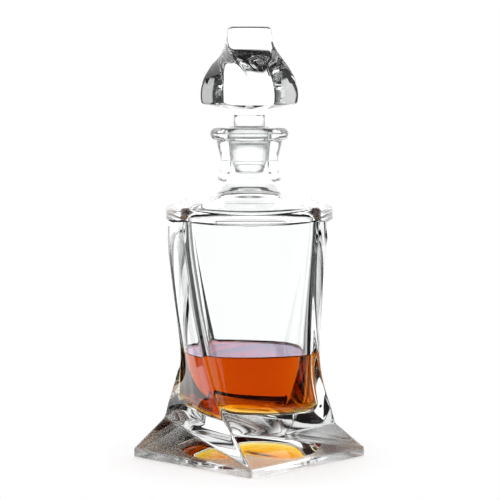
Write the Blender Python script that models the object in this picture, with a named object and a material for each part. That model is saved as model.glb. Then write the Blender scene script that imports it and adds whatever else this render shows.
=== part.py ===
"""A square crystal decanter whose four faces turn as they go down, with its ground-in stopper and its drink.

Metres, +Z up. The origin is on the axis, level with the flat that the foot stands on. The front is at -Y.
"""

import math

import bmesh
import bpy

# Foot and faces.
FOOT_SIDE = 0.0960
FOOT_RIM_HEIGHT = 0.0048
FOOT_UNDER_EDGE = 0.0006
PUNT_RADIUS = 0.0370
PUNT_DEPTH = 0.0015
FOLD_HEIGHT = 0.0215
LOWER_RIDGE_REACH = 0.0512
WAIST_HEIGHT = 0.0560
WAIST_REACH = 0.0473
PANEL_TOP_HEIGHT = 0.1400
PANEL_TOP_REACH = 0.0528
PANEL_BULGE = 0.0106
PANEL_TOP_DIP = 0.0018
RIDGE_ROUNDING = 0.0019
FULL_TWIST = math.radians(45)

# Shoulder, neck and rim. Each rise is from the piece below: the shoulder's edge, then the neck's waist.
SHOULDER_BAND_HEIGHT = 0.0080
SHOULDER_LIP = 0.0012
SHOULDER_EDGE = 0.0016
NECK_WAIST_RISE = 0.0234
NECK_WAIST_RADIUS = 0.0165
RIM_RISE = 0.0204
RIM_RADIUS = 0.0226
RIM_THICKNESS = 0.0076
NECK_TOP_RADIUS = 0.0190

# Glass thickness and the cavity.
WALL = 0.0050
LOWER_RIDGE_WALL = 0.0088
UPPER_RIDGE_WALL = 0.0040
CAVITY_FLOOR_HEIGHT = 0.0290
CAVITY_FLOOR_ROUNDING = 0.0055
LOWER_CAVITY_ROUNDING = 0.0060
UPPER_CAVITY_ROUNDING = 0.0030

# Ground joint, with the stopper's shank in the neck's bore.
JOINT_DEPTH = 0.0188
JOINT_MOUTH_RADIUS = 0.0117
JOINT_TAPER_SHARE = 0.07
JOINT_CLEARANCE = 0.0003
JOINT_RELIEF = 0.0003
BORE_FLARE_RADIUS = 0.0128
BORE_FLARE_RISE = 0.0165

# Stopper.
SHANK_LENGTH = 0.0250
SHANK_END_RADIUS = 0.0082
SHANK_END_LENGTH = 0.0060
PLUG_SHOULDER = 0.0014
COLLAR_RADIUS = 0.0091
COLLAR_HEIGHT = 0.0072
COLLAR_EDGE = 0.0006
HEAD_UNDER_RADIUS = 0.0112
HEAD_STEM_HEIGHT = 0.0032
HEAD_DROP = 0.0026
HEAD_HEIGHT = 0.0445
HEAD_TOP_REACH = 0.0167
HEAD_FOOT_REACH = 0.0290
HEAD_EDGE = 0.0021
HEAD_RIDGE_ROUNDING = 0.0022
HEAD_BULGE = 0.0012

# Drink.
DRINK_LEVEL = 0.0626
DRINK_CLEARANCE = 0.0003

# How far round each piece has turned at a height: shares of the height and of the full twist.
BODY_TWIST_SHARES = (
    (0.154, 0.730),
    (0.280, 0.465),
    (0.381, 0.311),
    (0.479, 0.204),
    (0.604, 0.108),
    (0.712, 0.055),
    (0.870, 0.012),
    (1.000, 0.000),
)
# How far the faces bow out, from the fold height to the top of the panels.
BULGE_SHARES = (
    (0.00, 0.00),
    (0.25, 0.44),
    (0.50, 0.75),
    (0.75, 0.95),
    (0.88, 1.00),
    (1.00, 0.92),
)
HEAD_TWIST_SHARES = (
    (0.00, 1.000),
    (0.13, 1.000),
    (0.32, 0.925),
    (0.45, 0.760),
    (0.61, 0.405),
    (0.78, 0.090),
    (0.93, 0.000),
    (1.00, 0.000),
)
# The head's widening on its way down, from the share of its height to the share of its widening.
HEAD_REACH_SHARES = (
    (0.00, 0.98),
    (0.08, 1.00),
    (0.16, 0.98),
    (0.24, 0.92),
    (0.34, 0.80),
    (0.46, 0.60),
    (0.61, 0.36),
    (0.78, 0.13),
    (0.95, 0.00),
    (1.00, 0.00),
)
# The outer shoulder, from its edge to the neck's waist: shares of that rise and of that drawing in.
SHOULDER_SHARES = (
    (0.000, 1.000),
    (0.045, 0.850),
    (0.114, 0.625),
    (0.186, 0.420),
    (0.263, 0.275),
    (0.411, 0.150),
    (0.559, 0.070),
    (0.708, 0.030),
    (0.856, 0.009),
    (1.000, 0.000),
)
# The inner shoulder, from the cavity's wall to the bore's flare, as above.
INNER_SHOULDER_SHARES = (
    (0.00, 1.00),
    (0.15, 0.94),
    (0.28, 0.76),
    (0.37, 0.53),
    (0.46, 0.34),
    (0.62, 0.19),
    (0.79, 0.09),
    (0.90, 0.03),
    (1.00, 0.00),
)
# The flare of the neck from its waist to the rim: shares of that rise and of that widening.
NECK_SHARES = (
    (0.00, 0.00),
    (0.25, 0.10),
    (0.50, 0.38),
    (0.75, 0.75),
    (1.00, 1.00),
)

# Where the head's underside bends out from the collar: shares of the stem's rise and of its widening.
STEM_BEND_SHARES = (0.5, 0.3)

# Counts: steps along a face, round a ridge, and in each stretch of height.
FACES = 4
FACE_STEPS = 8
RIDGE_STEPS = 2
PANEL_RINGS = 11
BEAD_RINGS = 6
FLOOR_RINGS = 3
PUNT_RINGS = 5
HEAD_RINGS = 13


def smooth_curve(points, place):
    """The value at a place on a smooth curve through (place, value) points."""
    last = len(points) - 1
    if place <= points[0][0]:
        return points[0][1]
    if place >= points[last][0]:
        return points[last][1]
    after = next(i for i, point in enumerate(points) if point[0] >= place)
    before = after - 1

    def slope(i):
        low = points[max(i - 1, 0)]
        high = points[min(i + 1, last)]
        return (high[1] - low[1]) / (high[0] - low[0])

    step = points[after][0] - points[before][0]
    t = (place - points[before][0]) / step
    start = points[before][1]
    end = points[after][1]
    rise = (2 * t**3 - 3 * t**2 + 1) * start + (3 * t**2 - 2 * t**3) * end
    return rise + (t**3 - 2 * t**2 + t) * step * slope(before) + (t**3 - t**2) * step * slope(after)


def between(low, high, share):
    return low + (high - low) * share


def polar(reach, angle):
    """A point at a distance from the axis. The angle is from the front, -Y, towards the right, +X."""
    return (reach * math.sin(angle), -reach * math.cos(angle))


def mix(a, b, share):
    return (between(a[0], b[0], share), between(a[1], b[1], share))


def face_line(left, right, bulge):
    """A face as seen in plan: from ridge to ridge, bowed out by the bulge at its middle."""
    across = (right[0] - left[0], right[1] - left[1])
    width = math.hypot(*across)
    outward = (across[1] / width, -across[0] / width)

    def point(share):
        bow = bulge * 4 * share * (1 - share)
        x, y = mix(left, right, share)
        return (x + outward[0] * bow, y + outward[1] * bow)

    return point, width


def plan_ring(height, reach, bulge, twist, rounding, dip=0):
    """One closed line round the axis: four bowed faces with rounded ridges between them.

    The dip lowers the middle of each face.
    """
    lines = []
    for face in range(FACES):
        start = twist + math.tau * (face - 0.5) / FACES
        end = twist + math.tau * (face + 0.5) / FACES
        lines.append(face_line(polar(reach, start), polar(reach, end), bulge))
    ring = []
    for face in range(FACES):
        before, width = lines[face - 1]
        line, _ = lines[face]
        margin = rounding / width
        incoming = before(1 - margin)
        ridge = line(0)
        outgoing = line(margin)
        for step in range(RIDGE_STEPS):
            share = step / RIDGE_STEPS
            x, y = mix(mix(incoming, ridge, share), mix(ridge, outgoing, share), share)
            ring.append((x, y, height))
        for step in range(FACE_STEPS):
            share = between(margin, 1 - margin, step / FACE_STEPS)
            x, y = line(share)
            ring.append((x, y, height - dip * 4 * share * (1 - share)))
    return ring


def round_ring(height, radius, twist=0):
    """The same count of points on a circle, evenly spaced, with the first at a ridge."""
    count = FACES * (FACE_STEPS + RIDGE_STEPS)
    ring = []
    for i in range(count):
        x, y = polar(radius, twist - math.tau / 2 / FACES + math.tau * (i - RIDGE_STEPS / 2) / count)
        ring.append((x, y, height))
    return ring


def mixed_ring(square, circle, share):
    return [tuple(between(a, b, share) for a, b in zip(p, q)) for p, q in zip(square, circle)]


def fold_corners(face, share):
    """A face's left ridge, fold and right ridge, at a share of the way down to the foot's rim."""
    left = math.tau * (face - 0.5) / FACES
    right = math.tau * (face + 0.5) / FACES
    reach = body_reach(FOLD_HEIGHT)
    twist = body_twist(FOLD_HEIGHT)
    top = polar(reach, twist + left)
    next_top = polar(reach, twist + right)
    foot = polar(foot_reach(), FULL_TWIST + left)
    next_foot = polar(foot_reach(), FULL_TWIST + right)
    return mix(top, foot, share), mix(top, next_foot, share), mix(next_top, next_foot, share)


def fold_ring(step):
    """One line round the foot's folds, which lie between the fold height and the top of the foot's rim.

    Each face is folded once, from its left ridge at the fold height to its right corner at the foot. The part
    under the fold runs along the foot's side, and the part above it runs as the face does at the fold height.
    """
    share = step / FACE_STEPS
    height = between(FOLD_HEIGHT, FOOT_RIM_HEIGHT, share)
    inside = 0 < step < FACE_STEPS
    ring = []
    for face in range(FACES):
        last_start, last_fold, _ = fold_corners(face - 1, share)
        start, fold, end = fold_corners(face, share)
        incoming = towards(start, last_fold if inside else last_start, RIDGE_ROUNDING)
        outgoing = towards(start, fold if inside else end, RIDGE_ROUNDING)
        leaving = towards(end, fold if inside else start, RIDGE_ROUNDING)
        for turn in range(RIDGE_STEPS):
            part = turn / RIDGE_STEPS
            ring.append((*mix(mix(incoming, start, part), mix(start, outgoing, part), part), height))
        if inside:
            stretches = ((outgoing, fold, step), (fold, leaving, FACE_STEPS - step))
        else:
            stretches = ((outgoing, leaving, FACE_STEPS),)
        for near, far, count in stretches:
            ring += [(*mix(near, far, i / count), height) for i in range(count)]
    return ring


def towards(start, goal, distance):
    """The point at a distance from the start on the way to the goal, at most halfway."""
    length = math.dist(start, goal)
    return mix(start, goal, min(distance / length, 0.5))


def foot_reach():
    return FOOT_SIDE / math.sqrt(2)


def shoulder_height():
    return PANEL_TOP_HEIGHT + SHOULDER_BAND_HEIGHT


def neck_waist_height():
    return shoulder_height() + NECK_WAIST_RISE


def rim_height():
    return neck_waist_height() + RIM_RISE


def body_twist(height):
    return FULL_TWIST * smooth_curve(BODY_TWIST_SHARES, height / PANEL_TOP_HEIGHT)


def body_reach(height):
    points = (
        (FOLD_HEIGHT, LOWER_RIDGE_REACH),
        (WAIST_HEIGHT, WAIST_REACH),
        (PANEL_TOP_HEIGHT, PANEL_TOP_REACH),
    )
    return smooth_curve(points, height)


def body_bulge(height):
    share = (height - FOLD_HEIGHT) / (PANEL_TOP_HEIGHT - FOLD_HEIGHT)
    return PANEL_BULGE * smooth_curve(BULGE_SHARES, share)


def half_width(reach, bulge):
    return reach / math.sqrt(2) + bulge


def body_half_width(height):
    return half_width(body_reach(height), body_bulge(height))


def dip_at(height):
    """The dip fades in over the upper part of the panels."""
    share = (height - WAIST_HEIGHT) / (PANEL_TOP_HEIGHT - WAIST_HEIGHT)
    return PANEL_TOP_DIP * max(share, 0) ** 3


def body_ring(height):
    return plan_ring(
        height,
        body_reach(height),
        body_bulge(height),
        body_twist(height),
        RIDGE_ROUNDING,
        dip_at(height),
    )


def wide_ring(height, extra):
    """A ring like the top of the panels, wider by the extra all round."""
    reach = PANEL_TOP_REACH + extra * math.sqrt(2)
    return plan_ring(height, reach, body_bulge(PANEL_TOP_HEIGHT), 0, RIDGE_ROUNDING, PANEL_TOP_DIP)


def foot_rings():
    """The punt, a shallow round hollow under the foot, then the flat round it and the upright rim."""
    reach = foot_reach()
    inner_reach = reach - FOOT_UNDER_EDGE * math.sqrt(2)
    rings = []
    for step in range(1, PUNT_RINGS + 1):
        share = step / PUNT_RINGS
        rings.append(round_ring(PUNT_DEPTH * (1 - share**2), PUNT_RADIUS * share, FULL_TWIST))
    rings.append(plan_ring(0, inner_reach, 0, FULL_TWIST, RIDGE_ROUNDING))
    rings.append(plan_ring(FOOT_UNDER_EDGE, reach, 0, FULL_TWIST, RIDGE_ROUNDING))
    return rings


def panel_rings():
    heights = [between(FOLD_HEIGHT, PANEL_TOP_HEIGHT, i / PANEL_RINGS) for i in range(1, PANEL_RINGS + 1)]
    return [body_ring(height) for height in heights]


def shoulder_rings():
    """The upright band over the panels, then the shoulder, which grows round as it draws in to the neck."""
    rings = [
        wide_ring(PANEL_TOP_HEIGHT + SHOULDER_LIP, SHOULDER_LIP),
        wide_ring(shoulder_height() - SHOULDER_EDGE, SHOULDER_LIP),
        wide_ring(shoulder_height() - SHOULDER_EDGE / 3, SHOULDER_LIP - SHOULDER_EDGE / 3),
    ]
    bulge = body_bulge(PANEL_TOP_HEIGHT)
    edge = half_width(PANEL_TOP_REACH, bulge)
    for rise, width in SHOULDER_SHARES[1:]:
        height = between(shoulder_height(), neck_waist_height(), rise)
        radius = between(NECK_WAIST_RADIUS, edge, width)
        reach = PANEL_TOP_REACH * radius / edge
        square = plan_ring(height, reach, bulge * radius / edge, 0, RIDGE_ROUNDING, PANEL_TOP_DIP * width)
        rings.append(mixed_ring(square, round_ring(height, radius), 1 - width**2))
    return rings


def neck_rings():
    """The neck from its waist to the rim's bead, and the bead round to the flat of the mouth."""
    bead = RIM_THICKNESS / 2
    foot = rim_height() - RIM_THICKNESS
    rings = []
    for rise, width in NECK_SHARES[1:]:
        height = between(neck_waist_height(), foot, rise)
        rings.append(round_ring(height, between(NECK_WAIST_RADIUS, NECK_TOP_RADIUS, width)))
    for i in range(1, BEAD_RINGS + 1):
        angle = math.pi * i / BEAD_RINGS
        radius = RIM_RADIUS - bead + bead * math.sin(angle)
        rings.append(round_ring(rim_height() - bead - bead * math.cos(angle), radius))
    return rings


def bore_radius(depth):
    """The ground bore's radius at a depth under the rim."""
    return JOINT_MOUTH_RADIUS - JOINT_TAPER_SHARE * depth


def up_the_wall(low, high, height):
    """A size that changes evenly from the waist up to the top of the panels."""
    return smooth_curve(((WAIST_HEIGHT, low), (PANEL_TOP_HEIGHT, high)), height)


def cavity_ring(height, inset=0):
    """A line round the cavity, which follows the panels at the thickness of the wall."""
    reach = body_reach(height) - up_the_wall(LOWER_RIDGE_WALL, UPPER_RIDGE_WALL, height)
    rounding = up_the_wall(LOWER_CAVITY_ROUNDING, UPPER_CAVITY_ROUNDING, height)
    bulge = body_half_width(height) - WALL - reach / math.sqrt(2)
    inner_reach = reach - inset * math.sqrt(2)
    return plan_ring(height, inner_reach, bulge, body_twist(height), rounding)


def bore_rings():
    """From the mouth down: the ground bore, its relief, the flare and the inner shoulder."""
    joint_foot = rim_height() - JOINT_DEPTH
    relief = bore_radius(JOINT_DEPTH) + JOINT_RELIEF
    rings = [
        round_ring(rim_height(), bore_radius(0)),
        round_ring(joint_foot, bore_radius(JOINT_DEPTH)),
        round_ring(joint_foot - JOINT_RELIEF, relief),
    ]
    flare_foot = shoulder_height() + BORE_FLARE_RISE
    for share in (0.5, 1):
        height = between(joint_foot - JOINT_RELIEF, flare_foot, share)
        rings.append(round_ring(height, between(relief, BORE_FLARE_RADIUS, share**2)))
    wall_top = PANEL_TOP_HEIGHT
    reach = PANEL_TOP_REACH - UPPER_RIDGE_WALL
    edge = body_half_width(wall_top) - WALL
    for rise, width in reversed(INNER_SHOULDER_SHARES[:-1]):
        height = between(wall_top, flare_foot, rise)
        radius = between(BORE_FLARE_RADIUS, edge, width)
        size = radius / edge
        bulge = (edge - reach / math.sqrt(2)) * size
        square = plan_ring(height, reach * size, bulge, 0, UPPER_CAVITY_ROUNDING * size)
        rings.append(mixed_ring(square, round_ring(height, radius), 1 - width**2))
    return rings


def cavity_rings(top, clearance=0):
    """The cavity's wall from a height down to its floor, whose edge is rounded."""
    start = CAVITY_FLOOR_HEIGHT + CAVITY_FLOOR_ROUNDING
    count = round(PANEL_RINGS * (top - start) / (PANEL_TOP_HEIGHT - FOLD_HEIGHT))
    rings = [cavity_ring(between(top, start, i / count), clearance) for i in range(count + 1)]
    for i in range(1, FLOOR_RINGS + 1):
        angle = math.pi / 2 * i / FLOOR_RINGS
        drop = (CAVITY_FLOOR_ROUNDING - clearance) * math.sin(angle)
        inset = clearance + (CAVITY_FLOOR_ROUNDING - clearance) * (1 - math.cos(angle))
        ring = cavity_ring(start, inset)
        rings.append([(x, y, z - drop) for x, y, z in ring])
    return rings


def stopper_rings():
    """From the shank's end up: the ground shank, the collar, the stem and the twisted head."""
    foot = rim_height() - SHANK_LENGTH
    joint_foot = foot + SHANK_END_LENGTH
    collar_top = rim_height() + COLLAR_HEIGHT
    stem_top = collar_top + HEAD_STEM_HEIGHT
    rise, width = STEM_BEND_SHARES
    profile = (
        (foot, SHANK_END_RADIUS - COLLAR_EDGE),
        (foot + COLLAR_EDGE, SHANK_END_RADIUS),
        (joint_foot, bore_radius(rim_height() - joint_foot) - JOINT_CLEARANCE),
        (rim_height() - PLUG_SHOULDER, bore_radius(PLUG_SHOULDER) - JOINT_CLEARANCE),
        (rim_height(), COLLAR_RADIUS),
        (collar_top - COLLAR_EDGE, COLLAR_RADIUS),
        (collar_top, COLLAR_RADIUS - COLLAR_EDGE),
        (between(collar_top, stem_top, rise), between(COLLAR_RADIUS, HEAD_UNDER_RADIUS, width)),
        (stem_top, HEAD_UNDER_RADIUS),
    )
    rings = [round_ring(height, radius, FULL_TWIST) for height, radius in profile]
    base = stem_top + HEAD_DROP
    under = head_ring(base, 0, HEAD_EDGE)
    rings.append(mixed_ring(round_ring(stem_top, HEAD_UNDER_RADIUS, FULL_TWIST), under, 0.5))
    rings.append(under)
    for i in range(HEAD_RINGS + 1):
        share = i / HEAD_RINGS
        rings.append(head_ring(between(base + HEAD_EDGE, top_height() - HEAD_EDGE, share), share))
    rings.append(head_ring(top_height() - HEAD_EDGE / 3, 1, HEAD_EDGE / 3))
    rings.append(head_ring(top_height(), 1, HEAD_EDGE))
    return rings


def top_height():
    return rim_height() + COLLAR_HEIGHT + HEAD_STEM_HEIGHT + HEAD_DROP + HEAD_HEIGHT


def head_ring(height, share, inset=0):
    """A line round the head, at a share of its height."""
    reach = between(HEAD_TOP_REACH, HEAD_FOOT_REACH, smooth_curve(HEAD_REACH_SHARES, share))
    twist = FULL_TWIST * smooth_curve(HEAD_TWIST_SHARES, share)
    return plan_ring(height, reach - inset * math.sqrt(2), HEAD_BULGE, twist, HEAD_RIDGE_ROUNDING)


def loft(name, rings, folded=()):
    """A closed solid through the rings, with a flat cap on the first and on the last.

    The rings listed as folded have each cell under them split along the fold's own diagonal.
    """
    mesh = bmesh.new()
    start = bmesh.ops.create_circle(mesh, cap_ends=False, radius=1, segments=len(rings[0]))
    line = sorted(start["verts"], key=lambda vert: vert.index)
    edges = list(mesh.edges)
    place(line, rings[0])
    first = line
    for number, ring in enumerate(rings[1:], start=1):
        made = bmesh.ops.extrude_edge_only(mesh, edges=edges)["geom"]
        fresh = {item for item in made if isinstance(item, bmesh.types.BMVert)}
        edges = [item for item in made if isinstance(item, bmesh.types.BMEdge) and set(item.verts) <= fresh]
        above = [next(e.other_vert(v) for e in v.link_edges if e.other_vert(v) in fresh) for v in line]
        place(above, ring)
        if number in folded:
            split_cells(mesh, line, above)
        line = above
    mesh.faces.new(reversed(first))
    mesh.faces.new(line)
    bmesh.ops.recalc_face_normals(mesh, faces=mesh.faces)
    bmesh.ops.triangulate(mesh, faces=mesh.faces)
    data = bpy.data.meshes.new(name)
    mesh.to_mesh(data)
    mesh.free()
    piece = bpy.data.objects.new(name, data)
    bpy.context.scene.collection.objects.link(piece)
    return piece


def split_cells(mesh, below, above):
    """Cuts each cell between two rings from its lower right corner to its upper left one."""
    count = len(below)
    for i in range(count):
        bmesh.ops.connect_verts(mesh, verts=[below[(i + 1) % count], above[i]])


def place(line, ring):
    for vert, point in zip(line, ring):
        vert.co = point


def finish(piece, colour, roughness, ior):
    """Smooth shading with crisp edges, and the piece's own clear material."""
    piece.data.shade_smooth()
    piece.data.set_sharp_from_angle(angle=math.radians(30))
    material = bpy.data.materials.new(piece.name)
    material.use_nodes = True
    shader = material.node_tree.nodes["Principled BSDF"]
    shader.inputs["Base Color"].default_value = (*colour, 1)
    shader.inputs["Roughness"].default_value = roughness
    shader.inputs["Metallic"].default_value = 0
    shader.inputs["Transmission Weight"].default_value = 1
    shader.inputs["IOR"].default_value = ior
    material.diffuse_color = (*colour, 1)
    piece.data.materials.append(material)


def make_body():
    """Foot, folds, panels, shoulder and neck outside, then the bore and the cavity inside."""
    rings = foot_rings()
    first_fold = len(rings) + 1
    rings += [fold_ring(step) for step in range(FACE_STEPS, -1, -1)]
    folded = range(first_fold, len(rings))
    rings += panel_rings() + shoulder_rings() + neck_rings() + bore_rings()
    rings += cavity_rings(PANEL_TOP_HEIGHT)[1:]
    body = loft("decanter_body", rings, folded)
    finish(body, (0.93, 0.95, 0.96), 0.02, 1.53)
    return body


def make_stopper():
    """The stopper's origin stays on the axis that it is lifted along."""
    stopper = loft("stopper", stopper_rings())
    finish(stopper, (0.93, 0.95, 0.96), 0.05, 1.53)
    return stopper


def make_drink():
    drink = loft("drink", cavity_rings(DRINK_LEVEL, DRINK_CLEARANCE))
    finish(drink, (0.62, 0.17, 0.01), 0, 1.36)
    return drink


for old in list(bpy.data.objects):
    bpy.data.objects.remove(old)
make_body()
make_stopper()
make_drink()
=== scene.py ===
import math

import bmesh
import bpy
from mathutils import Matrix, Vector


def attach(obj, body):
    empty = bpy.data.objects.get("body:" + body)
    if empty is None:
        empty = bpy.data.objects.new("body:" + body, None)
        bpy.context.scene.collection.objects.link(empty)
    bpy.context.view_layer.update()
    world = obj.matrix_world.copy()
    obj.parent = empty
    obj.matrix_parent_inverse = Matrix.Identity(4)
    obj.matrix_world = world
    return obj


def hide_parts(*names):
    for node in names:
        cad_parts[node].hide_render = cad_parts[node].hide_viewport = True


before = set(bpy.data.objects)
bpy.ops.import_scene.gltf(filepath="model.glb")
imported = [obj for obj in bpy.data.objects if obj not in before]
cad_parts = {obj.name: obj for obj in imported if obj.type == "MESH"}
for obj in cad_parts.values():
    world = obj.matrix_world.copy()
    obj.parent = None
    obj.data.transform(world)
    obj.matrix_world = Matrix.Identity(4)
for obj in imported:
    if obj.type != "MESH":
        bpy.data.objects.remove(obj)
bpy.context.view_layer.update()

# A square crystal decanter whose faces turn as they go down, its ground-in stopper and its drink, on a
# light table. Metres, +Z up. The axis is at x = 0, y = 0, the table at z = 0, and the front is at -Y.

print("frame loaded:", ", ".join(sorted(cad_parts)))


def smoothCurve(points, place):
    # the value at a place on a smooth curve through (place, value) points
    last = len(points) - 1
    if place <= points[0][0]:
        return points[0][1]
    if place >= points[last][0]:
        return points[last][1]
    after = next(i for i, point in enumerate(points) if point[0] >= place)
    before = after - 1

    def slope(i):
        low = points[max(i - 1, 0)]
        high = points[min(i + 1, last)]
        return (high[1] - low[1]) / (high[0] - low[0])

    step = points[after][0] - points[before][0]
    t = (place - points[before][0]) / step
    value = (2 * t**3 - 3 * t**2 + 1) * points[before][1] + (3 * t**2 - 2 * t**3) * points[after][1]
    return value + (t**3 - 2 * t**2 + t) * step * slope(before) + (t**3 - t**2) * step * slope(after)


def between(low, high, share):
    return low + (high - low) * share


def mix(a, b, share):
    return (between(a[0], b[0], share), between(a[1], b[1], share))


def polar(reach, angle):
    # the angle is from the front, -Y, towards the right, +X
    return (reach * math.sin(angle), -reach * math.cos(angle))


def hump(share):
    # 0 at both ends and 1 at the middle
    return 4 * share * (1 - share)


def towards(start, goal, distance):
    # a point at a distance from the start, at most halfway to the goal
    return mix(start, goal, min(distance / math.dist(start, goal), 0.5))


def halfWidth(reach, bulge):
    return reach / math.sqrt(2) + bulge


rings = {
    "faces": 4,
    "faceSteps": 48,  # steps along a face, and as many down its fold
    "ridgeSteps": 6,  # steps round a ridge
    "seamGap": 1e-7,  # points of the seam that lie nearer than this are one
}


def faceLine(left, right, bulge):
    # a face in plan, from ridge to ridge, bowed out by the bulge at its middle
    across = (right[0] - left[0], right[1] - left[1])
    width = math.hypot(*across)
    outward = (across[1] / width, -across[0] / width)

    def point(share):
        bow = bulge * hump(share)
        x, y = mix(left, right, share)
        return (x + outward[0] * bow, y + outward[1] * bow)

    return point, width


def planRing(height, reach, bulge, twist, rounding, dip=0):
    # one closed line round the axis: four bowed faces with rounded ridges, each face dipped at its middle
    lines = []
    for face in range(rings["faces"]):
        start = twist + math.tau * (face - 0.5) / rings["faces"]
        end = twist + math.tau * (face + 0.5) / rings["faces"]
        lines.append(faceLine(polar(reach, start), polar(reach, end), bulge))
    ring = []
    for face in range(rings["faces"]):
        before, width = lines[face - 1]
        line, _ = lines[face]
        margin = rounding / width
        incoming = before(1 - margin)
        ridge = line(0)
        outgoing = line(margin)
        for step in range(rings["ridgeSteps"]):
            share = step / rings["ridgeSteps"]
            ring.append((*mix(mix(incoming, ridge, share), mix(ridge, outgoing, share), share), height))
        for step in range(rings["faceSteps"]):
            share = between(margin, 1 - margin, step / rings["faceSteps"])
            ring.append((*line(share), height - dip * hump(share)))
    return ring


def roundRing(height, radius, twist=0):
    # the same count of points on a circle, with the first at a ridge
    count = rings["faces"] * (rings["faceSteps"] + rings["ridgeSteps"])
    start = twist - math.tau / 2 / rings["faces"]
    turn = math.tau / count
    return [(*polar(radius, start + turn * (i - rings["ridgeSteps"] / 2)), height) for i in range(count)]


def mixedRing(square, circle, share):
    return [tuple(between(a, b, share) for a, b in zip(p, q)) for p, q in zip(square, circle)]


def loft(ringList, foldStart=0, foldEnd=0):
    # A closed solid through the rings: a grid wrapped round the axis, with its seam merged and both ends
    # filled. The cells between foldStart and foldEnd are split along the fold's own diagonal.
    around = len(ringList[0])
    mesh = bmesh.new()
    bmesh.ops.create_grid(mesh, x_segments=around, y_segments=len(ringList) - 1, size=1)
    mesh.verts.ensure_lookup_table()
    mesh.faces.ensure_lookup_table()
    for level, ring in enumerate(ringList):
        for i in range(around + 1):
            mesh.verts[level * (around + 1) + i].co = ring[i % around]
    seam = [mesh.verts[level * (around + 1) + i] for level in range(len(ringList)) for i in (0, around)]
    cells = mesh.faces[foldStart * around:foldEnd * around]
    bmesh.ops.triangulate(mesh, faces=cells, quad_method="ALTERNATE")
    bmesh.ops.remove_doubles(mesh, verts=seam, dist=rings["seamGap"])
    bmesh.ops.holes_fill(mesh, edges=[edge for edge in mesh.edges if edge.is_boundary], sides=0)
    bmesh.ops.recalc_face_normals(mesh, faces=mesh.faces)
    return mesh


def placeMesh(name, mesh, materials):
    data = bpy.data.meshes.new(name)
    mesh.to_mesh(data)
    mesh.free()
    for material in materials:
        data.materials.append(material)
    piece = bpy.data.objects.new(name, data)
    bpy.context.scene.collection.objects.link(piece)
    return piece


def finishPiece(name, mesh, materials, sharpAngle, rider, node):
    piece = placeMesh(name, mesh, materials)
    piece.data.shade_smooth()
    piece.data.set_sharp_from_angle(angle=sharpAngle)
    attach(piece, rider)
    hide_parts(node)
    print("made", name, "with", len(piece.data.polygons), "faces")


def toLinear(hexColour):
    parts = [int(hexColour[i:i + 2], 16) / 255 for i in (1, 3, 5)]
    return (*[c / 12.92 if c <= 0.04045 else ((c + 0.055) / 1.055) ** 2.4 for c in parts], 1)


def addNode(tree, kind, settings=None, values=None, links=None):
    # adds a node, sets its properties and its sockets, and links its inputs to the outputs given
    node = tree.nodes.new(kind)
    for key, value in (settings or {}).items():
        setattr(node, key, value)
    for key, value in (values or {}).items():
        node.inputs[key].default_value = value
    for key, (source, output) in (links or {}).items():
        tree.links.new(source.outputs[output], node.inputs[key])
    return node


def newMaterial(name):
    material = bpy.data.materials.new(name)
    material.use_nodes = True
    material.node_tree.nodes.clear()
    return material, material.node_tree


# Crystal glass, pressed in a mould and fire polished: as clear as water, with sharp bright reflections. The
# polishing leaves the faces very slightly wavy, which bends what is seen through them.
crystalSettings = {
    "tint": "#fdfefe",
    "ior": 1.53,
    "waveSize": 0.014,  # from crest to crest
    "waveDepth": 0.000012,
    "waveDetail": 1.0,
    "waveRoughness": 0.4,
    "absorbColour": "#f3f4f4",
    "absorbDensity": 2.0,
}


def makeCrystal():
    material, tree = newMaterial("crystalGlassPolished")
    coords = addNode(tree, "ShaderNodeTexCoord")
    waves = addNode(
        tree,
        "ShaderNodeTexNoise",
        values={
            "Scale": 1 / crystalSettings["waveSize"],
            "Detail": crystalSettings["waveDetail"],
            "Roughness": crystalSettings["waveRoughness"],
        },
        links={"Vector": (coords, "Object")},
    )
    bump = addNode(
        tree,
        "ShaderNodeBump",
        values={"Strength": 1.0, "Distance": crystalSettings["waveDepth"]},
        links={"Height": (waves, "Fac")},
    )
    shader = addNode(
        tree,
        "ShaderNodeBsdfPrincipled",
        values={
            "Base Color": toLinear(crystalSettings["tint"]),
            "Roughness": 0.0,
            "IOR": crystalSettings["ior"],
            "Transmission Weight": 1.0,
        },
        links={"Normal": (bump, "Normal")},
    )
    inside = addNode(
        tree,
        "ShaderNodeVolumeAbsorption",
        values={
            "Color": toLinear(crystalSettings["absorbColour"]),
            "Density": crystalSettings["absorbDensity"],
        },
    )
    addNode(
        tree,
        "ShaderNodeOutputMaterial",
        links={"Surface": (shader, "BSDF"), "Volume": (inside, "Volume")},
    )
    return material


# Ground glass, lapped with fine grit so that stopper and neck fit: a pale frost that scatters what is
# behind it.
grit = {"detail": 3.0, "roughness": 0.6, "strength": 0.5}
jointSettings = {
    "name": "glassGroundJoint",
    "tint": "#fbfcfc",
    "ior": 1.53,
    "grainSize": 0.0005,  # the real grit is near 0.05 mm, drawn coarser so that it shows
    "grainDepth": 0.00002,
    "roughLow": 0.10,
    "roughHigh": 0.22,
}
# The flat that the foot stands on was ground level, so it is frosted; the hollow inside it stays bright.
undersideSettings = {
    "name": "glassGroundFlat",
    "tint": "#fbfcfc",
    "ior": 1.53,
    "grainSize": 0.004,
    "grainDepth": 0.000002,
    "roughLow": 0.20,
    "roughHigh": 0.30,
}


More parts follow.
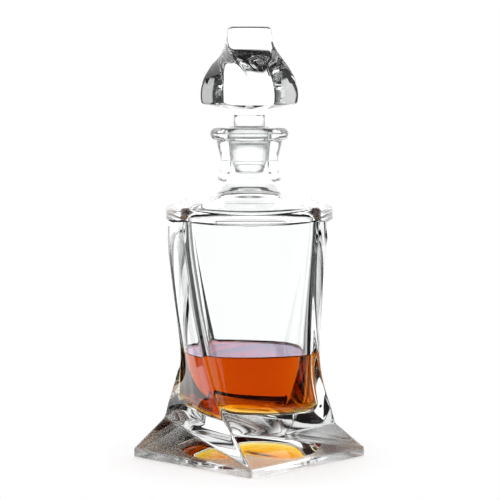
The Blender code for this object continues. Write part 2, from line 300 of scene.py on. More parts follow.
def makeGround(settings):
    material, tree = newMaterial(settings["name"])
    coords = addNode(tree, "ShaderNodeTexCoord")
    grain = addNode(
        tree,
        "ShaderNodeTexNoise",
        values={
            "Scale": 1 / settings["grainSize"],
            "Detail": grit["detail"],
            "Roughness": grit["roughness"],
        },
        links={"Vector": (coords, "Object")},
    )
    rough = addNode(
        tree,
        "ShaderNodeMapRange",
        values={"To Min": settings["roughLow"], "To Max": settings["roughHigh"]},
        links={"Value": (grain, "Fac")},
    )
    bump = addNode(
        tree,
        "ShaderNodeBump",
        values={"Strength": grit["strength"], "Distance": settings["grainDepth"]},
        links={"Height": (grain, "Fac")},
    )
    shader = addNode(
        tree,
        "ShaderNodeBsdfPrincipled",
        values={
            "Base Color": toLinear(settings["tint"]),
            "IOR": settings["ior"],
            "Transmission Weight": 1.0,
        },
        links={"Roughness": (rough, "Result"), "Normal": (bump, "Normal")},
    )
    addNode(tree, "ShaderNodeOutputMaterial", links={"Surface": (shader, "BSDF")})
    return material


# Barrel-aged spirit: gold where it is thin and a deep orange red where it is thick, with a still,
# mirror-like top.
spiritSettings = {
    "tint": "#fffefd",
    "ior": 1.36,
    "absorbColour": "#fbe900",
    "absorbDensity": 230.0,
    "sheen": "#efe6ff",  # a painted lavender tint on what its still surface mirrors; the sky itself is white
    "rippleSize": 0.03,
    "rippleDepth": 0.00001,
}


def makeSpirit():
    material, tree = newMaterial("amberSpirit")
    coords = addNode(tree, "ShaderNodeTexCoord")
    ripples = addNode(
        tree,
        "ShaderNodeTexNoise",
        values={"Scale": 1 / spiritSettings["rippleSize"], "Detail": 0.0},
        links={"Vector": (coords, "Object")},
    )
    bump = addNode(
        tree,
        "ShaderNodeBump",
        values={"Strength": 1.0, "Distance": spiritSettings["rippleDepth"]},
        links={"Height": (ripples, "Fac")},
    )
    shader = addNode(
        tree,
        "ShaderNodeBsdfPrincipled",
        values={
            "Base Color": toLinear(spiritSettings["tint"]),
            "Roughness": 0.0,
            "IOR": spiritSettings["ior"],
            "Transmission Weight": 1.0,
        },
        links={"Normal": (bump, "Normal")},
    )
    inside = addNode(
        tree,
        "ShaderNodeVolumeAbsorption",
        values={
            "Color": toLinear(spiritSettings["absorbColour"]),
            "Density": spiritSettings["absorbDensity"],
        },
    )
    addNode(
        tree,
        "ShaderNodeOutputMaterial",
        links={"Surface": (shader, "BSDF"), "Volume": (inside, "Volume")},
    )
    return material


def makeSpiritTop():
    # the spirit's surface: what it mirrors gets a painted lavender tint, and the light that it lets in does
    # not
    material, tree = newMaterial("amberSpiritTop")
    index = {"IOR": spiritSettings["ior"]}
    facing = addNode(tree, "ShaderNodeFresnel", values=index)
    # the mirror image takes a painted lavender tint, not a colour of the light
    mirror = addNode(
        tree,
        "ShaderNodeBsdfGlossy",
        values={"Color": toLinear(spiritSettings["sheen"]), "Roughness": 0.0},
    )
    entering = addNode(
        tree,
        "ShaderNodeBsdfRefraction",
        values={"Color": toLinear(spiritSettings["tint"]), "Roughness": 0.0, **index},
    )
    both = addNode(
        tree,
        "ShaderNodeMixShader",
        links={0: (facing, "Fac"), 1: (entering, "BSDF"), 2: (mirror, "BSDF")},
    )
    inside = addNode(
        tree,
        "ShaderNodeVolumeAbsorption",
        values={
            "Color": toLinear(spiritSettings["absorbColour"]),
            "Density": spiritSettings["absorbDensity"],
        },
    )
    addNode(
        tree,
        "ShaderNodeOutputMaterial",
        links={"Surface": (both, "Shader"), "Volume": (inside, "Volume")},
    )
    return material


crystal = makeCrystal()
ground = makeGround(jointSettings)
underside = makeGround(undersideSettings)
spirit = makeSpirit()
spiritTop = makeSpiritTop()
print("materials ready")


body = {
    "footSide": 0.0960,
    "footRim": 0.0048,
    "footUnderEdge": 0.0006,
    "footEdgeRings": 3,
    "footRimRings": 10,
    "footSmoothing": 8,  # passes that round the folds and the rim's edges, as fire polishing does
    "footSmoothShare": 0.5,  # how far a point moves towards its neighbours in each
    "puntRadius": 0.0370,  # the shallow hollow under the foot
    "puntDepth": 0.0015,
    "puntRings": 20,
    "foldHeight": 0.0215,
    "lowerRidgeReach": 0.0512,
    "waistHeight": 0.0560,
    "waistReach": 0.0473,
    "panelTop": 0.1400,
    "panelTopReach": 0.0528,
    "panelBulge": 0.0106,
    "panelTopDip": 0.0018,
    "ridgeRounding": 0.0019,
    "fullTwist": math.radians(45),
    "panelRings": 60,
    "sharpAngle": math.radians(24),  # edges that turn more than this are drawn crisp
    # how far round the ridges have turned: shares of the panels' top height and of the full twist
    "twistShares": (
        (0.154, 0.730),
        (0.280, 0.465),
        (0.381, 0.311),
        (0.479, 0.204),
        (0.604, 0.108),
        (0.712, 0.055),
        (0.870, 0.012),
        (1.000, 0.000),
    ),
    # how far the faces bow out, from the fold height to the panels' top
    "bulgeShares": (
        (0.00, 0.00),
        (0.25, 0.44),
        (0.50, 0.75),
        (0.75, 0.95),
        (0.88, 1.00),
        (1.00, 0.92),
    ),
}

shoulder = {
    "height": 0.1480,
    "lip": 0.0012,
    "edge": 0.0016,
    "edgeRings": 5,
    "neckWaistHeight": 0.1714,
    "neckWaistRadius": 0.0165,
    "shoulderRings": 40,
    "spacing": 1.5,  # over 1, the rings lie closer together at the shoulder's edge
    # from the shoulder's edge to the neck's waist: shares of that rise and of that drawing in
    "shares": (
        (0.000, 1.000),
        (0.045, 0.850),
        (0.114, 0.625),
        (0.186, 0.420),
        (0.263, 0.275),
        (0.411, 0.150),
        (0.559, 0.070),
        (0.708, 0.030),
        (0.856, 0.009),
        (1.000, 0.000),
    ),
}

neck = {
    "rimHeight": 0.1918,
    "rimRadius": 0.0226,
    "rimThickness": 0.0076,
    "topRadius": 0.0190,
    "neckRings": 16,
    "beadRings": 24,
    # from the neck's waist to the rim: shares of that rise and of that widening
    "shares": (
        (0.00, 0.00),
        (0.25, 0.10),
        (0.50, 0.38),
        (0.75, 0.75),
        (1.00, 1.00),
    ),
}

cavity = {
    "wall": 0.0050,
    "lowerRidgeWall": 0.0088,  # glass between a ridge and the cavity's corner, at the waist and below
    "upperRidgeWall": 0.0040,  # the same at the panels' top
    "floorHeight": 0.0290,
    "floorRounding": 0.0055,
    "floorFlat": 0.0006,  # the floor's outermost strip, which keeps the shading of the rest flat
    "lowerRounding": 0.0060,
    "upperRounding": 0.0030,
    "wallRings": 50,
    "floorRings": 12,
    "jointDepth": 0.0188,
    "mouthRadius": 0.0117,
    "taper": 0.07,
    "relief": 0.0003,
    "flareRadius": 0.0128,
    "flareRise": 0.0165,
    "flareRings": 14,
    "innerShoulderRings": 24,
    # from the cavity's wall to the bore's flare, as for the shoulder outside
    "innerShares": (
        (0.00, 1.00),
        (0.15, 0.94),
        (0.28, 0.76),
        (0.37, 0.53),
        (0.46, 0.34),
        (0.62, 0.19),
        (0.79, 0.09),
        (0.90, 0.03),
        (1.00, 0.00),
    ),
}


def footReach():
    return body["footSide"] / math.sqrt(2)


def bodyTwist(height):
    return body["fullTwist"] * smoothCurve(body["twistShares"], height / body["panelTop"])


def bodyReach(height):
    points = (
        (body["foldHeight"], body["lowerRidgeReach"]),
        (body["waistHeight"], body["waistReach"]),
        (body["panelTop"], body["panelTopReach"]),
    )
    return smoothCurve(points, height)


def bodyBulge(height):
    share = (height - body["foldHeight"]) / (body["panelTop"] - body["foldHeight"])
    return body["panelBulge"] * smoothCurve(body["bulgeShares"], share)


def bodyRing(height):
    share = (height - body["waistHeight"]) / (body["panelTop"] - body["waistHeight"])
    dip = body["panelTopDip"] * max(share, 0) ** 3
    reach = bodyReach(height)
    return planRing(height, reach, bodyBulge(height), bodyTwist(height), body["ridgeRounding"], dip)


def foldCorners(face, share):
    # a face's left ridge, fold and right ridge, at a share of the way down to the foot's rim
    left = math.tau * (face - 0.5) / rings["faces"]
    right = math.tau * (face + 0.5) / rings["faces"]
    reach = bodyReach(body["foldHeight"])
    twist = bodyTwist(body["foldHeight"])
    top = polar(reach, twist + left)
    nextTop = polar(reach, twist + right)
    foot = polar(footReach(), body["fullTwist"] + left)
    nextFoot = polar(footReach(), body["fullTwist"] + right)
    return mix(top, foot, share), mix(top, nextFoot, share), mix(nextTop, nextFoot, share)


def foldRing(step):
    # Each face is folded once, from its left ridge at the fold height to its right corner at the foot.
    count = rings["faceSteps"]
    share = step / count
    height = between(body["foldHeight"], body["footRim"], share)
    inside = 0 < step < count
    ring = []
    for face in range(rings["faces"]):
        lastStart, lastFold, _ = foldCorners(face - 1, share)
        start, fold, end = foldCorners(face, share)
        incoming = towards(start, lastFold if inside else lastStart, body["ridgeRounding"])
        outgoing = towards(start, fold if inside else end, body["ridgeRounding"])
        leaving = towards(end, fold if inside else start, body["ridgeRounding"])
        for turn in range(rings["ridgeSteps"]):
            part = turn / rings["ridgeSteps"]
            ring.append((*mix(mix(incoming, start, part), mix(start, outgoing, part), part), height))
        if inside:
            stretches = ((outgoing, fold, step), (fold, leaving, count - step))
        else:
            stretches = ((outgoing, leaving, count),)
        for near, far, steps in stretches:
            ring += [(*mix(near, far, i / steps), height) for i in range(steps)]
    return ring


def footRings():
    # the hollow under the foot, the flat that it stands on, and the upright rim
    reach = footReach()
    rounding = body["ridgeRounding"]
    edge = body["footUnderEdge"]
    twist = body["fullTwist"]
    made = []
    for step in range(1, body["puntRings"] + 1):
        share = step / body["puntRings"]
        made.append(roundRing(body["puntDepth"] * (1 - share**2), body["puntRadius"] * share, twist))
    made.append(roundRing(0, body["puntRadius"] + edge, twist))
    made.append(planRing(0, reach - edge * 2 * math.sqrt(2), 0, twist, rounding))
    for step in range(body["footEdgeRings"] + 1):
        angle = math.pi / 2 * step / body["footEdgeRings"]
        inset = edge * (1 - math.sin(angle)) * math.sqrt(2)
        made.append(planRing(edge * (1 - math.cos(angle)), reach - inset, 0, twist, rounding))
    for step in range(1, body["footRimRings"]):
        height = between(edge, body["footRim"], step / body["footRimRings"])
        made.append(planRing(height, reach, 0, twist, rounding))
    return made


def wideRing(height, extra):
    reach = body["panelTopReach"] + extra * math.sqrt(2)
    bulge = bodyBulge(body["panelTop"])
    return planRing(height, reach, bulge, 0, body["ridgeRounding"], body["panelTopDip"])


def shoulderRings():
    # the upright band over the panels, then the shoulder, which grows round as it draws in to the neck
    edge = shoulder["edge"]
    made = [
        wideRing(body["panelTop"] + shoulder["lip"], shoulder["lip"]),
        wideRing(shoulder["height"] - edge, shoulder["lip"]),
    ]
    for step in range(1, shoulder["edgeRings"]):
        angle = math.pi / 2 * step / shoulder["edgeRings"]
        inset = edge * (1 - math.cos(angle))
        made.append(wideRing(shoulder["height"] - edge * (1 - math.sin(angle)), shoulder["lip"] - inset))
    bulge = bodyBulge(body["panelTop"])
    wide = halfWidth(body["panelTopReach"], bulge)
    for step in range(1, shoulder["shoulderRings"] + 1):
        share = step / shoulder["shoulderRings"]
        rise = share ** shoulder["spacing"]
        width = smoothCurve(shoulder["shares"], rise)
        height = between(shoulder["height"], shoulder["neckWaistHeight"], rise)
        radius = between(shoulder["neckWaistRadius"], wide, width)
        reach = body["panelTopReach"] * radius / wide
        rounding = body["ridgeRounding"]
        square = planRing(height, reach, bulge * radius / wide, 0, rounding, body["panelTopDip"] * width)
        made.append(mixedRing(square, roundRing(height, radius), 1 - width**2))
    return made


def neckRings():
    bead = neck["rimThickness"] / 2
    foot = neck["rimHeight"] - neck["rimThickness"]
    made = []
    for step in range(1, neck["neckRings"] + 1):
        rise = step / neck["neckRings"]
        width = smoothCurve(neck["shares"], rise)
        height = between(shoulder["neckWaistHeight"], foot, rise)
        made.append(roundRing(height, between(shoulder["neckWaistRadius"], neck["topRadius"], width)))
    for step in range(1, neck["beadRings"] + 1):
        angle = math.pi * step / neck["beadRings"]
        radius = neck["rimRadius"] - bead + bead * math.sin(angle)
        made.append(roundRing(neck["rimHeight"] - bead - bead * math.cos(angle), radius))
    return made


def boreRadius(depth):
    return cavity["mouthRadius"] - cavity["taper"] * depth


def boreRings():
    # from the mouth down: the ground bore, its relief, the flare and the inner shoulder
    jointFoot = neck["rimHeight"] - cavity["jointDepth"]
    reliefRadius = boreRadius(cavity["jointDepth"]) + cavity["relief"]
    reliefHeight = jointFoot - cavity["relief"]
    made = [
        roundRing(neck["rimHeight"], boreRadius(0)),
        roundRing(jointFoot, boreRadius(cavity["jointDepth"])),
        roundRing(reliefHeight, reliefRadius),
    ]
    flareFoot = shoulder["height"] + cavity["flareRise"]
    for step in range(1, cavity["flareRings"] + 1):
        share = step / cavity["flareRings"]
        height = between(reliefHeight, flareFoot, share)
        made.append(roundRing(height, between(reliefRadius, cavity["flareRadius"], share**2)))
    reach = body["panelTopReach"] - cavity["upperRidgeWall"]
    wide = halfWidth(bodyReach(body["panelTop"]), bodyBulge(body["panelTop"])) - cavity["wall"]
    for step in range(cavity["innerShoulderRings"] - 1, -1, -1):
        rise = step / cavity["innerShoulderRings"]
        width = smoothCurve(cavity["innerShares"], rise)
        height = between(body["panelTop"], flareFoot, rise)
        radius = between(cavity["flareRadius"], wide, width)
        size = radius / wide
        bulge = (wide - reach / math.sqrt(2)) * size
        square = planRing(height, reach * size, bulge, 0, cavity["upperRounding"] * size)
        made.append(mixedRing(square, roundRing(height, radius), 1 - width**2))
    return made


def upTheWall(low, high, height):
    # a size that changes evenly from the waist up to the panels' top
    return smoothCurve(((body["waistHeight"], low), (body["panelTop"], high)), height)


def cavityRing(height, inset=0):
    reach = bodyReach(height) - upTheWall(cavity["lowerRidgeWall"], cavity["upperRidgeWall"], height)
    rounding = upTheWall(cavity["lowerRounding"], cavity["upperRounding"], height)
    wide = halfWidth(bodyReach(height), bodyBulge(height))
    bulge = wide - cavity["wall"] - reach / math.sqrt(2)
    return planRing(height, reach - inset * math.sqrt(2), bulge, bodyTwist(height), rounding)


def cavityRings(top, clearance, count):
    # the cavity's wall from a height down to its floor, whose edge is rounded
    start = cavity["floorHeight"] + cavity["floorRounding"]
    made = [cavityRing(between(top, start, i / count), clearance) for i in range(count + 1)]
    for step in range(1, cavity["floorRings"] + 1):
        angle = math.pi / 2 * step / cavity["floorRings"]
        rounding = cavity["floorRounding"] - clearance
        ring = cavityRing(start, clearance + rounding * (1 - math.cos(angle)))
        made.append([(x, y, z - rounding * math.sin(angle)) for x, y, z in ring])
    flat = cavityRing(start, cavity["floorRounding"] + cavity["floorFlat"])
    made.append([(x, y, cavity["floorHeight"] + clearance) for x, y, _ in flat])
    return made


def makeBody():
    made = footRings()
    foldStart = len(made)
    made += [foldRing(step) for step in range(rings["faceSteps"], -1, -1)]
    foldEnd = len(made) - 1
    for step in range(1, body["panelRings"] + 1):
        made.append(bodyRing(between(body["foldHeight"], body["panelTop"], step / body["panelRings"])))
    made += shoulderRings() + neckRings() + boreRings()
    made += cavityRings(body["panelTop"], 0, cavity["wallRings"])[1:]
    mesh = loft(made, foldStart, foldEnd)
    foot = [vert for vert in mesh.verts if body["footUnderEdge"] < vert.co.z < cavity["floorHeight"]]
    step = body["footSmoothShare"]
    for _ in range(body["footSmoothing"]):
        bmesh.ops.smooth_vert(
            mesh, verts=foot, factor=step, use_axis_x=True, use_axis_y=True, use_axis_z=True
        )
    jointFoot = neck["rimHeight"] - cavity["jointDepth"]
    for face in mesh.faces:
        middle = face.calc_center_median()
        away = math.hypot(middle.x, middle.y)
        if jointFoot < middle.z < neck["rimHeight"] and away < cavity["mouthRadius"]:
            face.material_index = 1
        elif middle.z < body["footUnderEdge"] / 2 and away > body["puntRadius"]:
            face.material_index = 2
    materials = (crystal, ground, underside)
    angle = body["sharpAngle"]
    finishPiece("decanterGlass", mesh, materials, angle, "decanter", "decanter_body")


makeBody()


stopper = {
    "clearance": 0.0003,
    "plugShoulder": 0.0014,  # how far under the rim the ground plug ends
    "shankLength": 0.0250,
    "shankEndRadius": 0.0082,
    "shankEndLength": 0.0060,
    "collarRadius": 0.0091,
    "collarHeight": 0.0072,
    "collarEdge": 0.0006,
    "underRadius": 0.0112,
    "stemHeight": 0.0032,
    "headDrop": 0.0026,
    "headHeight": 0.0445,
    "topReach": 0.0167,
    "footReach": 0.0290,
    "headEdge": 0.0021,
    "ridgeRounding": 0.0022,
    "bulge": 0.0012,
    "headRings": 70,
    "headFootRings": 4,
    "headTopRings": 5,
    "edgeShare": 0.3,  # how far in the middle of a rounded edge lies
    "stemBendShares": (0.5, 0.3),  # the stem's bend, as shares of its height and of its widening
    "underShare": 0.5,  # the head's underside, halfway from the round stem to the square head
    "sharpAngle": math.radians(24),
    # shares of the head's height, then of the full twist and of the widening towards the head's foot
    "twistShares": (
        (0.00, 1.000),
        (0.13, 1.000),
        (0.32, 0.925),
        (0.45, 0.760),
        (0.61, 0.405),
        (0.78, 0.090),
        (0.93, 0.000),
        (1.00, 0.000),
    ),
    "reachShares": (
        (0.00, 0.98),
        (0.08, 1.00),
        (0.16, 0.98),
        (0.24, 0.92),
        (0.34, 0.80),
        (0.46, 0.60),
        (0.61, 0.36),
        (0.78, 0.13),
        (0.95, 0.00),
        (1.00, 0.00),
    ),
}


def headRing(height, share, inset=0):
    reach = between(stopper["topReach"], stopper["footReach"], smoothCurve(stopper["reachShares"], share))
    twist = body["fullTwist"] * smoothCurve(stopper["twistShares"], share)
    return planRing(height, reach - inset * math.sqrt(2), stopper["bulge"], twist, stopper["ridgeRounding"])


def stopperRings():
    # from the shank's end up: the ground shank, the collar, the stem and the twisted head
    rim = neck["rimHeight"]
    foot = rim - stopper["shankLength"]
    jointFoot = foot + stopper["shankEndLength"]
    collarTop = rim + stopper["collarHeight"]
    stemTop = collarTop + stopper["stemHeight"]
    edge = stopper["collarEdge"]
    bevel = edge * stopper["edgeShare"]
    radius = stopper["collarRadius"]
    bendRise, bendOut = stopper["stemBendShares"]
    profile = (
        (foot, stopper["shankEndRadius"] - edge * 2),
        (foot, stopper["shankEndRadius"] - edge),
        (foot + bevel, stopper["shankEndRadius"] - bevel),
        (foot + edge, stopper["shankEndRadius"]),
        (jointFoot, boreRadius(rim - jointFoot) - stopper["clearance"]),
        (rim - stopper["plugShoulder"], boreRadius(stopper["plugShoulder"]) - stopper["clearance"]),
        (rim, radius),
        (collarTop - edge, radius),
        (collarTop - bevel, radius - bevel),
        (collarTop, radius - edge),
        (between(collarTop, stemTop, bendRise), between(radius, stopper["underRadius"], bendOut)),
        (stemTop, stopper["underRadius"]),
    )
    made = [roundRing(height, size, body["fullTwist"]) for height, size in profile]
    base = stemTop + stopper["headDrop"]
    headEdge = stopper["headEdge"]
    under = headRing(base, 0, headEdge)
    stem = roundRing(stemTop, stopper["underRadius"], body["fullTwist"])
    made.append(mixedRing(stem, under, stopper["underShare"]))
    top = base + stopper["headHeight"]
    for step in range(stopper["headFootRings"]):
        angle = math.pi / 2 * step / stopper["headFootRings"]
        made.append(headRing(base + headEdge * (1 - math.cos(angle)), 0, headEdge * (1 - math.sin(angle))))
    for step in range(stopper["headRings"] + 1):
        share = step / stopper["headRings"]
        made.append(headRing(between(base + headEdge, top - headEdge, share), share))
    for step in range(1, stopper["headTopRings"] + 1):
        angle = math.pi / 2 * step / stopper["headTopRings"]
        made.append(headRing(top - headEdge * (1 - math.sin(angle)), 1, headEdge * (1 - math.cos(angle))))
    made.append(headRing(top, 1, headEdge + edge))
    return made


def makeStopper():
    mesh = loft(stopperRings())
    foot = neck["rimHeight"] - stopper["shankLength"]
    for face in mesh.faces:
        middle = face.calc_center_median()
        if foot + stopper["collarEdge"] < middle.z < neck["rimHeight"] - stopper["plugShoulder"]:
            face.material_index = 1
    angle = stopper["sharpAngle"]
    finishPiece("stopperGlass", mesh, (crystal, ground), angle, "stopper", "stopper")


makeStopper()


drink = {
    "level": 0.0626,
    "overlap": 0.00025,  # it reaches this far into the glass, so that no air lies between them
    "meniscusRise": 0.0009,
    "meniscusReach": 0.0020,
    "meniscusRings": 8,
    "topFlat": 0.0005,  # the outermost strip of the flat top
    "topFacing": 0.9,  # faces whose normals rise more than this are the spirit's surface
    "wallRings": 24,
    "sharpAngle": math.radians(40),
}


def makeDrink():
    made = [cavityRing(drink["level"], drink["meniscusReach"] + drink["topFlat"])]
    for step in range(drink["meniscusRings"], 0, -1):
        share = step / drink["meniscusRings"]
        rise = drink["meniscusRise"] * (1 - share) ** 2
        inset = drink["meniscusReach"] * share - drink["overlap"]
        ring = cavityRing(drink["level"], inset)
        made.append([(x, y, z + rise) for x, y, z in ring])
    made += cavityRings(drink["level"] + drink["meniscusRise"], -drink["overlap"], drink["wallRings"])
    mesh = loft(made)
    surface = drink["level"] - drink["overlap"]
    for face in mesh.faces:
        if face.calc_center_median().z > surface and face.normal.z > drink["topFacing"]:
            face.material_index = 1
    angle = drink["sharpAngle"]
    finishPiece("amberSpiritFill", mesh, (spirit, spiritTop), angle, "decanter", "drink")


makeDrink()


table = {
    "radius": 0.13,
    "sides": 128,
    "drop": 0.0002,  # a hair under the foot
    "colour": "#f4f4f4",
    "glowColour": "#ffffff",
    "glow": 0.20,
    # what the glass sees instead of the lit table, all painted: a painted shadow under the foot, painted
    # bright and dark rings round it, and painted dark further out; places are shares of the radius
    "paintedShadeAndGlow": (
        (0.30, "#303030"),
        (0.35, "#f4f4f4"),
        (0.42, "#f4f4f4"),
        (0.45, "#202020"),
        (0.47, "#202020"),
        (0.50, "#ffffff"),
        (0.55, "#ffffff"),
        (0.62, "#202020"),
    ),
    "grain": 0.004,
    "rough": (0.6, 0.7),
}


def makeTable():
    # matt white acrylic, a little lit from below: white to the eye, with a soft shadow at the foot.
    # To the glass it is a glow with a painted shadow under the foot and painted bright and dark rings.
    material, tree = newMaterial("whiteAcrylicWithPaintedShade")
    coords = addNode(tree, "ShaderNodeTexCoord")
    scale = {"Scale": 1 / table["grain"]}
    grain = addNode(tree, "ShaderNodeTexNoise", values=scale, links={"Vector": (coords, "Object")})
    low, high = table["rough"]
    limits = {"To Min": low, "To Max": high}
    rough = addNode(tree, "ShaderNodeMapRange", values=limits, links={"Value": (grain, "Fac")})
    seen = addNode(
        tree,
        "ShaderNodeBsdfPrincipled",
        values={
            "Base Color": toLinear(table["colour"]),
            "Specular IOR Level": 0.0,
            "Emission Color": toLinear(table["glowColour"]),
            "Emission Strength": table["glow"],
        },
        links={"Roughness": (rough, "Result")},
    )
    away = addNode(tree, "ShaderNodeVectorMath", {"operation": "LENGTH"}, links={0: (coords, "Object")})
    share = addNode(
        tree, "ShaderNodeMath", {"operation": "DIVIDE"}, {1: table["radius"]}, {0: (away, "Value")}
    )
    # painted shadow and painted glow, set by distance from the axis; the camera never sees them
    ramp = addNode(tree, "ShaderNodeValToRGB", links={"Fac": (share, "Value")})
    stops = ramp.color_ramp.elements
    while len(stops) < len(table["paintedShadeAndGlow"]):
        stops.new(1.0)
    for stop, (place, colour) in zip(stops, table["paintedShadeAndGlow"]):
        stop.position = place
        stop.color = toLinear(colour)
    # the painted shade and glow are given out as light to every ray but the camera's, though no lamp is
    # there
    paintedShadeAndGlow = addNode(tree, "ShaderNodeEmission", links={"Color": (ramp, "Color")})
    path = addNode(tree, "ShaderNodeLightPath")
    both = addNode(
        tree,
        "ShaderNodeMixShader",
        links={0: (path, "Is Camera Ray"), 1: (paintedShadeAndGlow, "Emission"), 2: (seen, "BSDF")},
    )
    addNode(tree, "ShaderNodeOutputMaterial", links={"Surface": (both, "Shader")})
    mesh = bmesh.new()
    bmesh.ops.create_circle(mesh, cap_ends=True, radius=table["radius"], segments=table["sides"])
    bmesh.ops.translate(mesh, verts=mesh.verts, vec=Vector((0, 0, -table["drop"])))
    placeMesh("table", mesh, (material,))


makeTable()


# Black velvet flags stand beside the decanter, lower than its neck: they draw the dark edges that show the
# sides and the ridges of clear glass against a white back. Only the glass sees them.
flags = {
    "distance": 0.30,
    "low": -0.03,
    "high": 0.112,
    "steps": 6,  # flat strips round each flag's curve
    "colour": "#0a0a0b",
    "sheen": 0.3,
    "pile": 0.0008,
    "rough": (0.85, 1.0),
    # each flag's middle and half width in degrees, from the back (+Y) round
    "places": ((-26, 8), (-66, 12), (60, 18)),
}


def makeVelvet():
    material, tree = newMaterial("blackVelvetFlag")
    coords = addNode(tree, "ShaderNodeTexCoord")
    scale = {"Scale": 1 / flags["pile"]}
    pile = addNode(tree, "ShaderNodeTexNoise", values=scale, links={"Vector": (coords, "Object")})
    low, high = flags["rough"]
    limits = {"To Min": low, "To Max": high}
    rough = addNode(tree, "ShaderNodeMapRange", values=limits, links={"Value": (pile, "Fac")})
    shader = addNode(
        tree,
        "ShaderNodeBsdfPrincipled",
        values={
            "Base Color": toLinear(flags["colour"]),
            "Specular IOR Level": 0.0,
            "Sheen Weight": flags["sheen"],
        },
        links={"Roughness": (rough, "Result")},
    )
    addNode(tree, "ShaderNodeOutputMaterial", links={"Surface": (shader, "BSDF")})
    return material


def makeFlags():
    velvet = makeVelvet()
    for number, (middle, half) in enumerate(flags["places"], start=1):
        mesh = bmesh.new()
        bmesh.ops.create_grid(mesh, x_segments=flags["steps"], y_segments=1, size=1)
        for vert in mesh.verts:
            turn = math.radians(middle + half * vert.co.x)
            height = flags["high"] if vert.co.y > 0 else flags["low"]
            vert.co = (flags["distance"] * math.sin(turn), flags["distance"] * math.cos(turn), height)
        piece = placeMesh("flag" + str(number), mesh, (velvet,))
        piece.visible_camera = False
        piece.visible_diffuse = False
        piece.visible_shadow = False


makeFlags()


studio = {
    "white": 2.0,
    "dark": 0.02,
    "blur": 5.0,  # how soft the edge of each soft box is, in degrees
    # soft boxes, in degrees: the middle's direction from the back (+Y) round, half the width, the lowest
    # and the highest elevation, and the brightness. Over 180 half the width goes all round, and over 90
    # the highest elevation is the zenith.
    "boxes": (
        (0, 62, -28, 40, 0.75),
        (0, 21, 4, 40, 1.0),
        (85, 13, -28, 40, 0.35),
        (-102, 26, -28, 40, 0.45),
        (0, 400, 70, 120, 0.22),
    ),
    "dome": 1.25,  # how bright the sky is for matt surfaces, which have no mirror image of the boxes
    "backdropColour": "#ffffff",
    "backdrop": 1.0,  # how bright the sky is where it is seen past the decanter
}


def softMask(tree, source, start, end):
    # 0 at the start and 1 at the end, smoothly
    settings = {"interpolation_type": "SMOOTHSTEP"}
    values = {"From Min": min(start, end), "From Max": max(start, end)}
    if start > end:
        values.update({"To Min": 1.0, "To Max": 0.0})
    return addNode(tree, "ShaderNodeMapRange", settings, values, {"Value": source}), "Result"


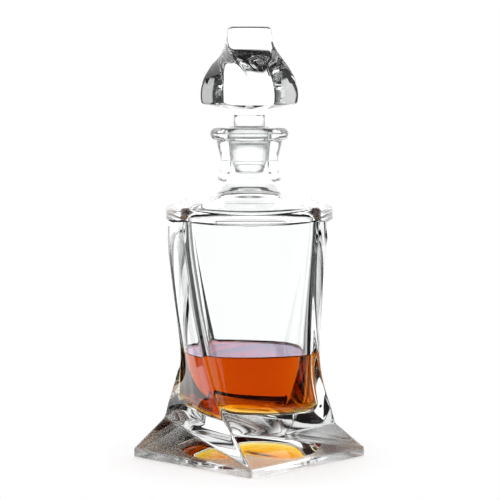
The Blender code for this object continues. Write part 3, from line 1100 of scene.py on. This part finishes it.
def makeStudio():
    # a dark room with soft boxes round the table
    world = bpy.data.worlds.new("studio")
    bpy.context.scene.world = world
    world.use_nodes = True
    tree = world.node_tree
    tree.nodes.clear()
    coords = addNode(tree, "ShaderNodeTexCoord")
    parts = addNode(tree, "ShaderNodeSeparateXYZ", links={"Vector": (coords, "Generated")})
    level = addNode(tree, "ShaderNodeCombineXYZ", links={"X": (parts, "X"), "Y": (parts, "Y")})
    around = addNode(tree, "ShaderNodeVectorMath", {"operation": "NORMALIZE"}, links={0: (level, "Vector")})
    rise = addNode(tree, "ShaderNodeMath", {"operation": "ARCSINE"}, links={0: (parts, "Z")})
    blur = math.radians(studio["blur"]) / 2
    total = None
    for middle, half, low, high, share in studio["boxes"]:
        masks = []
        if half < 180:
            turn = math.radians(middle)
            aim = (math.sin(turn), math.cos(turn), 0)
            product = {"operation": "DOT_PRODUCT"}
            facing = addNode(tree, "ShaderNodeVectorMath", product, {1: aim}, {0: (around, "Vector")})
            edge = math.radians(half)
            masks.append(softMask(tree, (facing, "Value"), math.cos(edge + blur), math.cos(edge - blur)))
        masks.append(softMask(tree, (rise, "Value"), math.radians(low) - blur, math.radians(low) + blur))
        if high < 90:
            top = math.radians(high)
            masks.append(softMask(tree, (rise, "Value"), top + blur, top - blur))
        times = {"operation": "MULTIPLY"}
        box = addNode(tree, "ShaderNodeMath", times, {1: share}, {0: masks[0]})
        for mask in masks[1:]:
            box = addNode(tree, "ShaderNodeMath", times, links={0: (box, "Value"), 1: mask})
        if total:
            brighter = {0: total, 1: (box, "Value")}
            box = addNode(tree, "ShaderNodeMath", {"operation": "MAXIMUM"}, links=brighter)
        total = (box, "Value")
    glow = addNode(
        tree,
        "ShaderNodeMapRange",
        values={"To Min": studio["dark"], "To Max": studio["white"]},
        links={"Value": total},
    )
    light = addNode(tree, "ShaderNodeBackground", links={"Strength": (glow, "Result")})
    shade = {"Color": toLinear(studio["backdropColour"]), "Strength": studio["backdrop"]}
    plain = addNode(tree, "ShaderNodeBackground", values=shade)
    path = addNode(tree, "ShaderNodeLightPath")
    dome = addNode(tree, "ShaderNodeBackground", values={"Strength": studio["dome"]})
    soft = addNode(
        tree,
        "ShaderNodeMixShader",
        links={0: (path, "Is Diffuse Ray"), 1: (light, "Background"), 2: (dome, "Background")},
    )
    shown = addNode(
        tree,
        "ShaderNodeMixShader",
        links={0: (path, "Is Camera Ray"), 1: (soft, "Shader"), 2: (plain, "Background")},
    )
    addNode(tree, "ShaderNodeOutputWorld", links={"Surface": (shown, "Shader")})


makeStudio()


camera = {
    "lens": 156.24,
    "sensor": 36,
    "clipEnd": 200,
    "distance": 1.25,
    "height": 0.240,
    "aim": 0.1207,
    "turn": math.radians(1.3),
    "shift": 0.0014,
}


def makeCamera():
    data = bpy.data.cameras.new("camera")
    data.lens = camera["lens"]
    data.sensor_width = camera["sensor"]
    data.sensor_fit = "HORIZONTAL"
    data.shift_x = camera["shift"]
    data.clip_end = camera["clipEnd"]
    piece = bpy.data.objects.new("camera", data)
    x, y = polar(camera["distance"], -camera["turn"])
    piece.location = (x, y, camera["height"])
    away = Vector((0, 0, camera["aim"])) - piece.location
    piece.rotation_euler = away.to_track_quat("-Z", "Y").to_euler()
    bpy.context.scene.collection.objects.link(piece)
    bpy.context.scene.camera = piece


makeCamera()


# light passes many faces of thick glass before it gets out
bounces = {"glass": 32, "mirror": 16, "matt": 4, "through": 16}

scene = bpy.context.scene
scene.view_settings.view_transform = "Standard"
scene.view_settings.look = "None"
scene.cycles.max_bounces = bounces["glass"]
scene.cycles.transmission_bounces = bounces["glass"]
scene.cycles.glossy_bounces = bounces["mirror"]
scene.cycles.diffuse_bounces = bounces["matt"]
scene.cycles.transparent_max_bounces = bounces["through"]
scene.cycles.caustics_reflective = True
scene.cycles.caustics_refractive = True
scene.cycles.blur_glossy = 0.0
print("stage ready")
